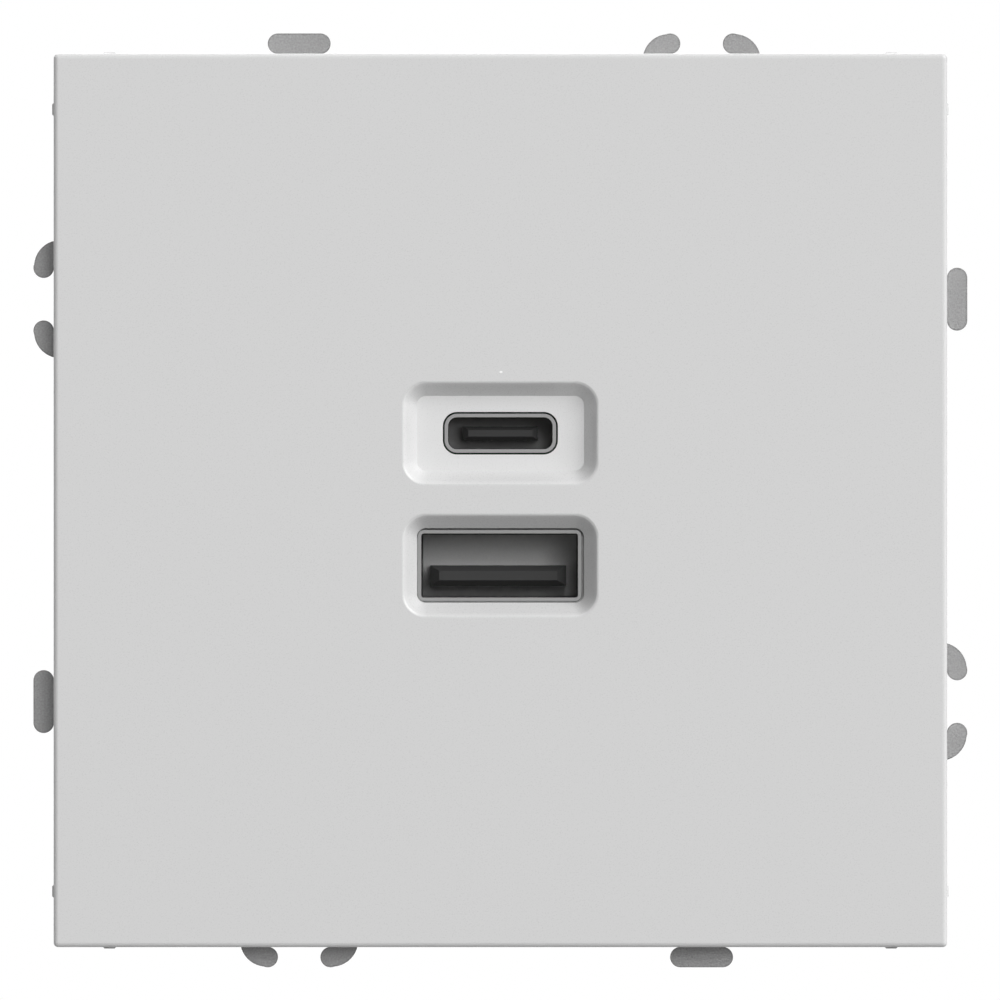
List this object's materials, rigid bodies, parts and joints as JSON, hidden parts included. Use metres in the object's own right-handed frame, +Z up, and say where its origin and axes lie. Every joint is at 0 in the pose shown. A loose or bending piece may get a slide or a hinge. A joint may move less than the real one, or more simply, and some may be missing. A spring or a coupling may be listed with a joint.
{
  "type": "usb wall socket",
  "caption": "Flush square wall socket with a type-C port over a type-A port in a light grey cover, on a steel mounting frame with spreading claws and screw terminals behind.",
  "frame": {"origin": "centre of the wall screws, on the back face of the steel mounting frame, which rests on the wall", "axes": "+X to the right seen from the front, +Y into the wall, +Z up"},
  "size_m": [0.0742, 0.036, 0.0742],
  "materials": {
    "cover_plastic": "fine matt moulded",
    "zinc_steel": "zinc plated sheet",
    "housing_plastic": "moulded",
    "screw_steel": "zinc plated",
    "claw_steel": "zinc plated sheet",
    "contact_brass": "bare",
    "board_laminate": "solder mask",
    "port_steel": "nickel plated",
    "port_plastic": "moulded",
    "ferrite": "sintered",
    "chip_plastic": "moulded",
    "winding_tape": "film tape",
    "capacitor_sleeve": "shrink sleeve",
    "capacitor_can": "drawn can",
    "safety_blue": "dipped",
    "copper_wire": "enamelled copper"
  },
  "bodies": {
    "mechanism": {"mounting_frame": "zinc_steel", "housing_front": "housing_plastic", "housing_rear": "housing_plastic", "housing_screws": "screw_steel", "claw_pin_left": "screw_steel", "claw_pin_right": "screw_steel", "port_board": "board_laminate", "usb_c_shell": "port_steel", "usb_c_insulator": "port_plastic", "usb_c_contacts": "contact_brass", "usb_a_shell": "port_steel", "usb_a_insulator": "port_plastic", "usb_a_contacts": "contact_brass", "power_inductors": "ferrite", "control_chips": "chip_plastic", "board_header": "chip_plastic", "header_pins": "contact_brass", "main_board": "board_laminate", "transformer_core": "ferrite", "transformer_bobbin": "chip_plastic", "transformer_winding": "winding_tape", "bulk_capacitors": "capacitor_sleeve", "output_capacitors": "capacitor_can", "line_capacitor": "winding_tape", "safety_capacitor": "safety_blue", "choke_core": "ferrite", "choke_winding": "copper_wire", "fuse_resistor": "safety_blue", "bridge_rectifier": "chip_plastic", "optocoupler": "chip_plastic", "terminal_bar_line": "contact_brass", "terminal_bar_neutral": "contact_brass"},
    "cover": {"front_cover": "cover_plastic"},
    "claw_screw_left": {"claw_screw_left": "screw_steel"},
    "claw_nut_left": {"claw_nut_left": "contact_brass"},
    "claw_left": {"claw_left": "claw_steel"},
    "claw_screw_right": {"claw_screw_right": "screw_steel"},
    "claw_nut_right": {"claw_nut_right": "contact_brass"},
    "claw_right": {"claw_right": "claw_steel"},
    "terminal_screw_line": {"terminal_screw_line": "screw_steel"},
    "terminal_clamp_line": {"terminal_clamp_line": "screw_steel"},
    "terminal_screw_neutral": {"terminal_screw_neutral": "screw_steel"},
    "terminal_clamp_neutral": {"terminal_clamp_neutral": "screw_steel"}
  },
  "joints": [
    {"name": "cover_pull", "type": "slide", "parent": "mechanism", "child": "cover", "axis": [0, -1, 0], "range_m": [0, 0.02]},
    {"name": "claw_nut_left_slide", "type": "slide", "parent": "mechanism", "child": "claw_nut_left", "axis": [0, -1, 0], "range_m": [0, 0.00175]},
    {"name": "claw_screw_left_turn", "type": "hinge", "parent": "mechanism", "child": "claw_screw_left", "pos_m": [-0.02741, 0, 0.01], "axis": [0, 1, 0], "range_deg": [0, 1260.1]},
    {"name": "claw_left_swing", "type": "hinge", "parent": "mechanism", "child": "claw_left", "pos_m": [-0.0239, 0.0046, 0.01], "axis": [0, 0, 1], "range_deg": [0, 28.01]},
    {"name": "claw_nut_right_slide", "type": "slide", "parent": "mechanism", "child": "claw_nut_right", "axis": [0, -1, 0], "range_m": [0, 0.00175]},
    {"name": "claw_screw_right_turn", "type": "hinge", "parent": "mechanism", "child": "claw_screw_right", "pos_m": [0.02741, 0, -0.01], "axis": [0, 1, 0], "range_deg": [0, 1260.1]},
    {"name": "claw_right_swing", "type": "hinge", "parent": "mechanism", "child": "claw_right", "pos_m": [0.0239, 0.0046, -0.01], "axis": [0, 0, -1], "range_deg": [0, 28.01]},
    {"name": "terminal_clamp_line_slide", "type": "slide", "parent": "mechanism", "child": "terminal_clamp_line", "axis": [0, 0, -1], "range_m": [0, 0.0035]},
    {"name": "terminal_screw_line_turn", "type": "hinge", "parent": "mechanism", "child": "terminal_screw_line", "pos_m": [-0.0065, 0.01875, 0], "axis": [0, 0, 1], "range_deg": [0, 2520.1]},
    {"name": "terminal_clamp_neutral_slide", "type": "slide", "parent": "mechanism", "child": "terminal_clamp_neutral", "axis": [0, 0, -1], "range_m": [0, 0.0035]},
    {"name": "terminal_screw_neutral_turn", "type": "hinge", "parent": "mechanism", "child": "terminal_screw_neutral", "pos_m": [0.0065, 0.01875, 0], "axis": [0, 0, 1], "range_deg": [0, 2520.1]}
  ],
  "couplings": [
    {"joint": "claw_screw_left_turn", "follows": "claw_nut_left_slide", "rad_per_m": 12566},
    {"joint": "claw_left_swing", "follows": "claw_nut_left_slide", "rad_per_m": 279.25},
    {"joint": "claw_screw_right_turn", "follows": "claw_nut_right_slide", "rad_per_m": 12566},
    {"joint": "claw_right_swing", "follows": "claw_nut_right_slide", "rad_per_m": 279.25},
    {"joint": "terminal_screw_line_turn", "follows": "terminal_clamp_line_slide", "rad_per_m": 12566},
    {"joint": "terminal_screw_neutral_turn", "follows": "terminal_clamp_neutral_slide", "rad_per_m": 12566}
  ]
}
